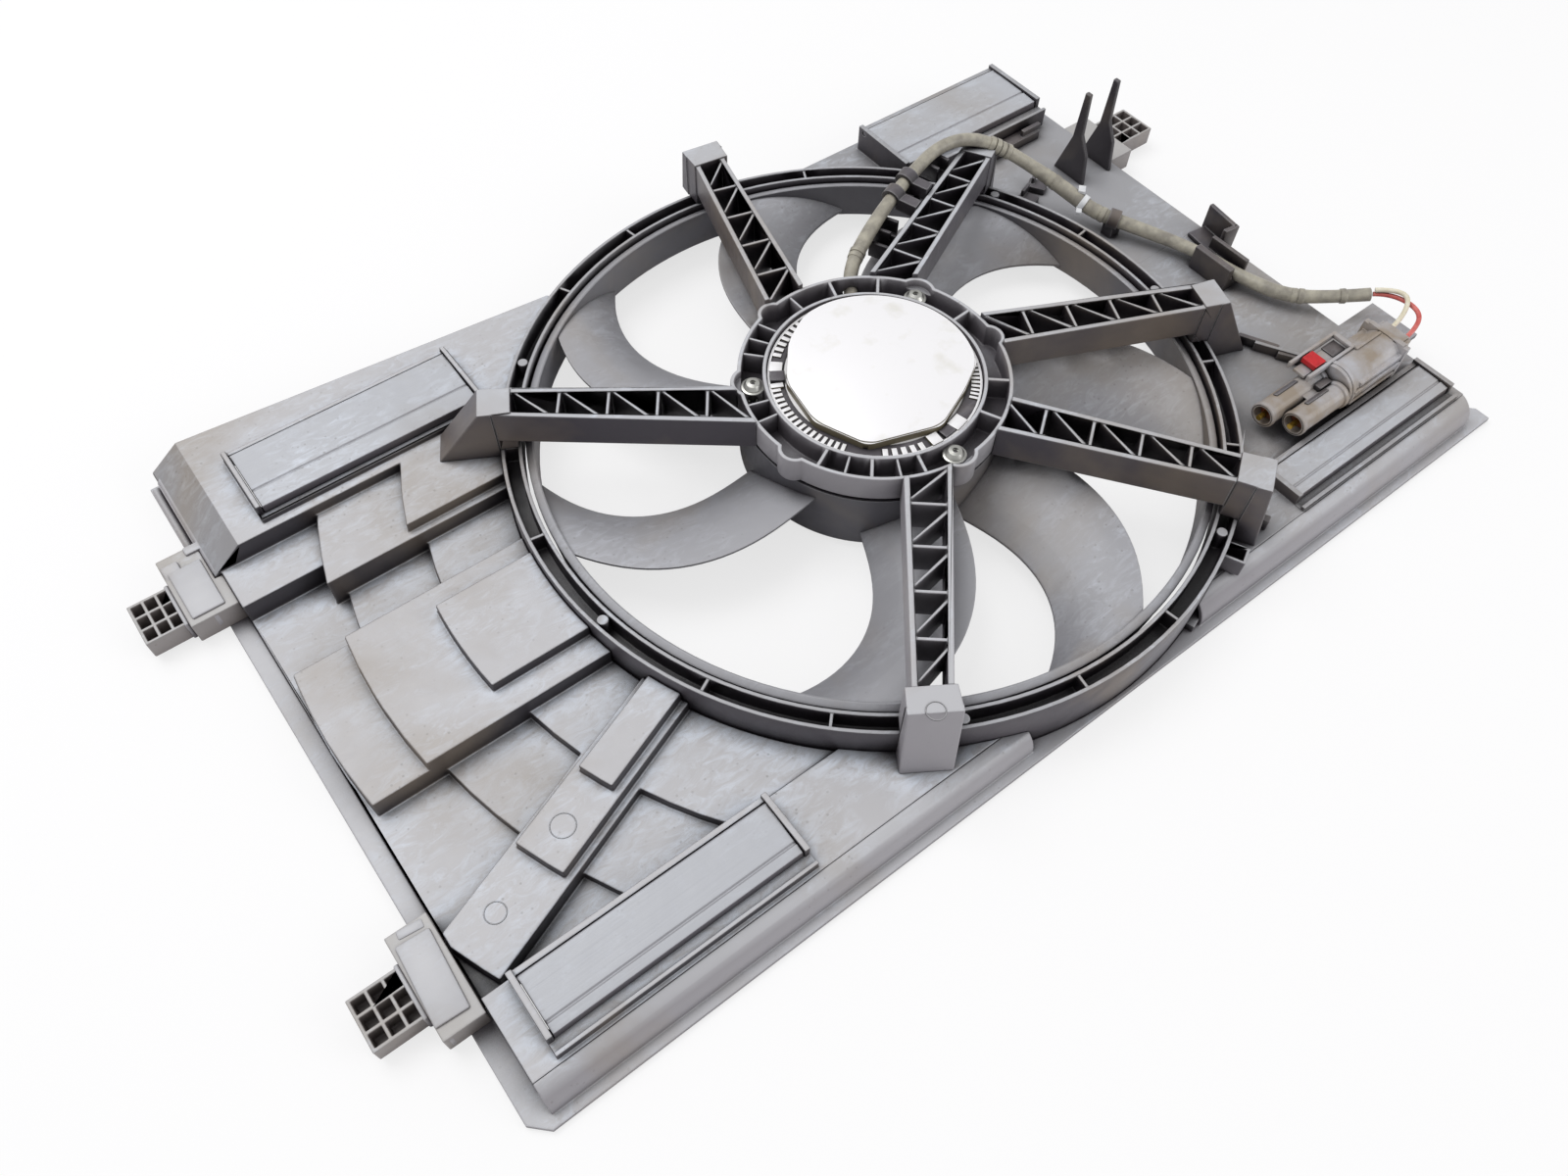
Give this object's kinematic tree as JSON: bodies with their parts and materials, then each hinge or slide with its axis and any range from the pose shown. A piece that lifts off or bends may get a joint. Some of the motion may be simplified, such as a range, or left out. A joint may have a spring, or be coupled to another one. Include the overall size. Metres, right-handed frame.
{
  "type": "radiator fan shroud",
  "caption": "Moulded radiator fan shroud with ducted electric fan on lattice spokes, terraced side panel, hinged ram-air flaps, locating tabs and a clipped motor lead.",
  "frame": {"origin": "middle of the whole assembly's underside, in the plane of the sealing flange", "axes": "+X along the long side towards the connector, +Z from the radiator towards the motor, +Y across the shroud"},
  "size_m": [0.713, 0.417, 0.08],
  "materials": {
    "shroud_nylon": "moulded, scuffed",
    "flap_plastic": "moulded",
    "fan_nylon": "moulded",
    "zinc_plated_steel": "zinc plated",
    "motor_end_metal": "bright",
    "bearing_steel": "ground",
    "ferrite": "sintered",
    "card_plastic": "moulded",
    "carbon": "pressed",
    "core_steel": "laminated",
    "copper": "enamelled",
    "lead_sheath": "sleeved",
    "connector_plastic": "moulded, dusty",
    "red_plastic": "moulded",
    "orange_rubber": "moulded",
    "gold_brass": "plated",
    "red_wire": "insulated",
    "white_wire": "insulated"
  },
  "bodies": {
    "shroud": {"panel_left": "shroud_nylon", "panel_near": "shroud_nylon", "panel_right_far": "shroud_nylon", "panel_right_near": "shroud_nylon", "rim_flange": "shroud_nylon", "barrel": "shroud_nylon", "motor_carrier": "shroud_nylon", "spoke_1": "shroud_nylon", "spoke_2": "shroud_nylon", "spoke_3": "shroud_nylon", "spoke_4": "shroud_nylon", "spoke_5": "shroud_nylon", "spoke_6": "shroud_nylon", "locating_pin_left_far": "shroud_nylon", "locating_pin_left_near": "shroud_nylon", "locating_pin_right": "shroud_nylon", "cable_prongs": "shroud_nylon", "cable_saddle": "shroud_nylon", "cable_clips": "shroud_nylon", "connector_bracket": "shroud_nylon", "motor_housing": "zinc_plated_steel", "motor_end_shield": "motor_end_metal", "bearing_lower": "bearing_steel", "bearing_upper": "bearing_steel", "magnets": "ferrite", "brush_card": "card_plastic", "brushes": "carbon", "brush_springs": "bearing_steel", "motor_screws": "zinc_plated_steel", "motor_lead": "lead_sheath", "connector_body": "connector_plastic", "connector_seals": "orange_rubber", "connector_terminals": "gold_brass", "wire_red": "red_wire", "wire_white": "white_wire"},
    "fan": {"fan_shaft": "bearing_steel", "fan_hub": "fan_nylon", "fan_blades": "fan_nylon", "fan_ring": "fan_nylon", "fan_nut": "zinc_plated_steel", "fan_washer": "zinc_plated_steel", "armature_core": "core_steel", "armature_windings": "copper", "commutator": "copper"},
    "flap_left_far": {"flap_left_far": "flap_plastic"},
    "flap_left_near": {"flap_left_near": "flap_plastic"},
    "flap_right_far": {"flap_right_far": "flap_plastic"},
    "flap_right_near": {"flap_right_near": "flap_plastic"},
    "connector_lock": {"connector_lock": "red_plastic"}
  },
  "joints": [
    {"name": "fan_spin", "type": "hinge", "parent": "shroud", "child": "fan", "pos_m": [0.0225, -0.0028, 0.03], "axis": [0, 0, 1], "continuous": true},
    {"name": "flap_left_far_hinge", "type": "hinge", "parent": "shroud", "child": "flap_left_far", "pos_m": [-0.2135, 0.1672, 0.0354], "axis": [-1, 0, 0], "range_deg": [0, 65]},
    {"name": "flap_left_near_hinge", "type": "hinge", "parent": "shroud", "child": "flap_left_near", "pos_m": [-0.228, -0.1548, 0.0244], "axis": [-1, 0, 0], "range_deg": [0, 65]},
    {"name": "flap_right_far_hinge", "type": "hinge", "parent": "shroud", "child": "flap_right_far", "pos_m": [0.2305, 0.1842, 0.0344], "axis": [-1, 0, 0], "range_deg": [0, 65]},
    {"name": "flap_right_near_hinge", "type": "hinge", "parent": "shroud", "child": "flap_right_near", "pos_m": [0.2395, -0.1648, 0.0244], "axis": [-1, 0, 0], "range_deg": [0, 65]},
    {"name": "connector_lock_slide", "type": "slide", "parent": "shroud", "child": "connector_lock", "axis": [-1, 0, 0], "range_m": [0, 0.004]}
  ]
}
